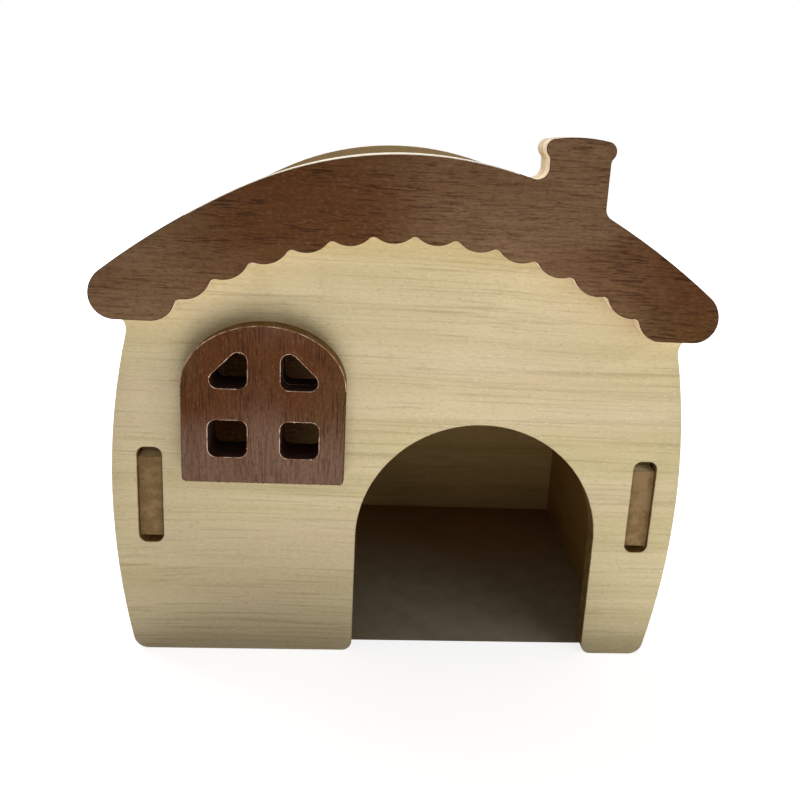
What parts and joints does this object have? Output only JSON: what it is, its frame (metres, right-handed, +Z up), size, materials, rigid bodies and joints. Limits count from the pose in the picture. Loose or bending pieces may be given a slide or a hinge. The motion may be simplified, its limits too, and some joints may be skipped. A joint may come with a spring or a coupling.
{
  "type": "hamster house",
  "caption": "Wooden hamster house of slotted flat boards: bulging sides, arched roof fascia with scalloped edge, chimney, round-headed doorway, barred window, lift-off roof board.",
  "frame": {"origin": "on the ground at the middle of the house's box", "axes": "+Z up; +X to the right as seen from the front; the front with the doorway faces -Y"},
  "size_m": [0.1278, 0.094, 0.1166],
  "materials": {
    "pale_board": "satin cream wood-grain laminate on MDF",
    "brown_board": "satin walnut wood-grain laminate on MDF"
  },
  "bodies": {
    "house": {"front_panel": "pale_board", "roof_fascia": "brown_board", "window_frame": "brown_board", "back_panel": "pale_board", "left_side_wall": "pale_board", "right_side_wall": "pale_board"},
    "roof": {"roof_board": "pale_board"}
  },
  "joints": [
    {"name": "roof_lift", "type": "slide", "parent": "house", "child": "roof", "axis": [0, 0, 1], "range_m": [0, 0.045]}
  ]
}
